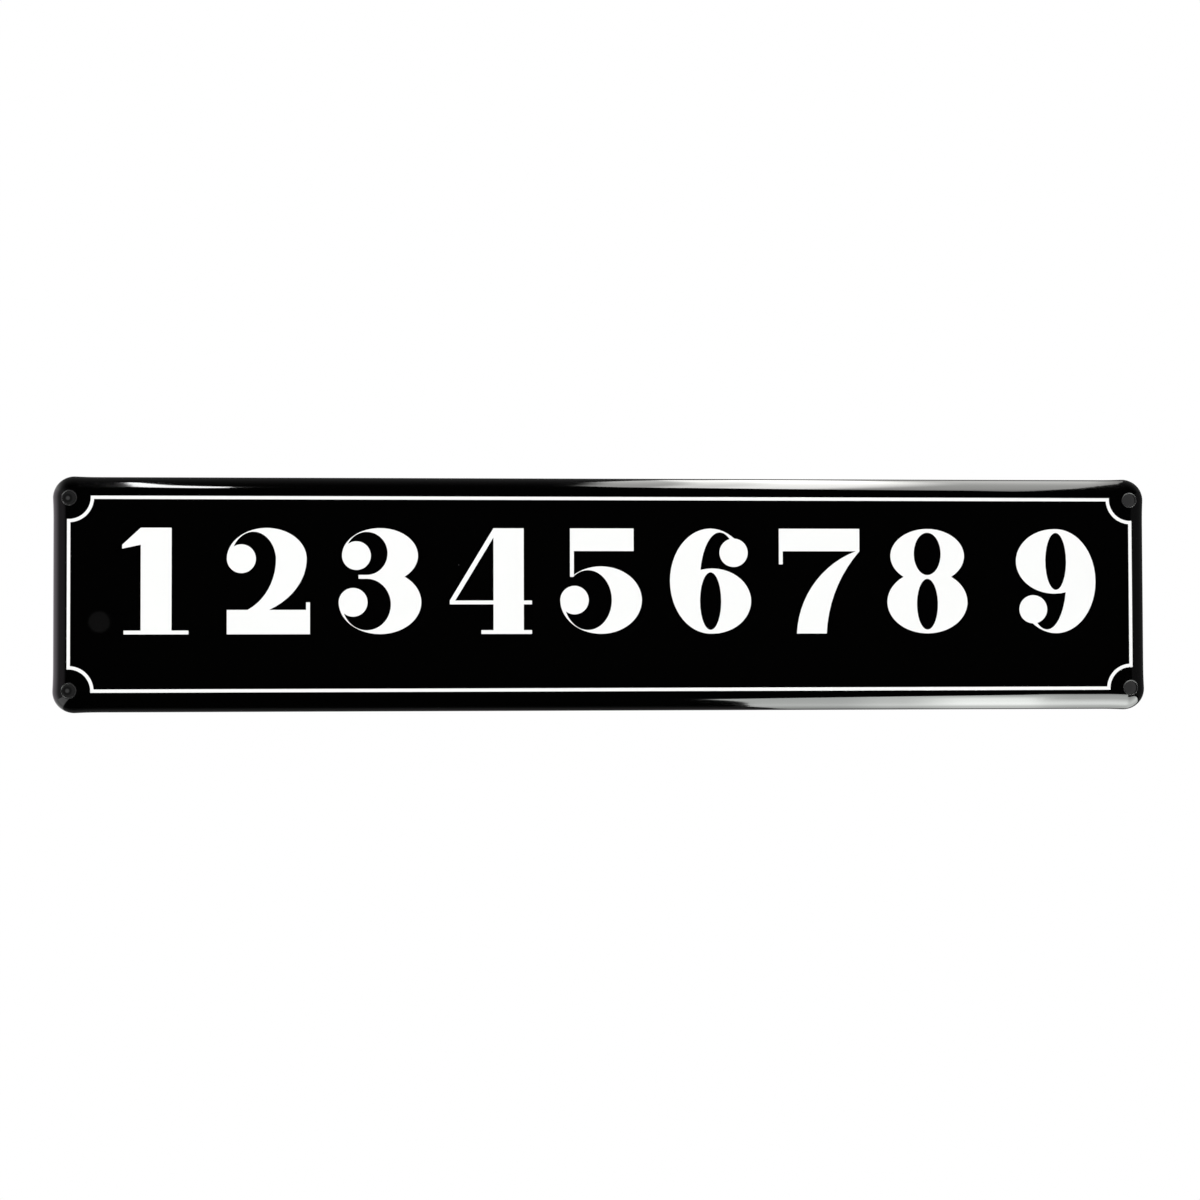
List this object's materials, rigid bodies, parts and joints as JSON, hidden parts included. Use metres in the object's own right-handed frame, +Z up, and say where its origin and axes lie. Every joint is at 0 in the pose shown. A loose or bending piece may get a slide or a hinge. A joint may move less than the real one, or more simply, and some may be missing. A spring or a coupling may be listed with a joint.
{
  "type": "street name sign",
  "caption": "Wide black enamelled steel sign with a rolled-back rim, a white frame line that steps round its corner fixing holes, and a row of plain white numerals.",
  "frame": {"origin": "middle of the four fixing holes at the level of the face", "axes": "+X to the right along the sign as it is read, +Z up, the face looks along -Y and the wall is at +Y"},
  "size_m": [0.4004, 0.0077, 0.0854],
  "materials": {
    "black_enamel": "glossy black vitreous enamel on steel, front, edges and back",
    "white_enamel": "glossy white vitreous enamel, fired on slightly proud of the black"
  },
  "bodies": {
    "root": {"enamel_plate": "black_enamel", "frame_line": "white_enamel", "numerals": "white_enamel"}
  },
  "joints": []
}
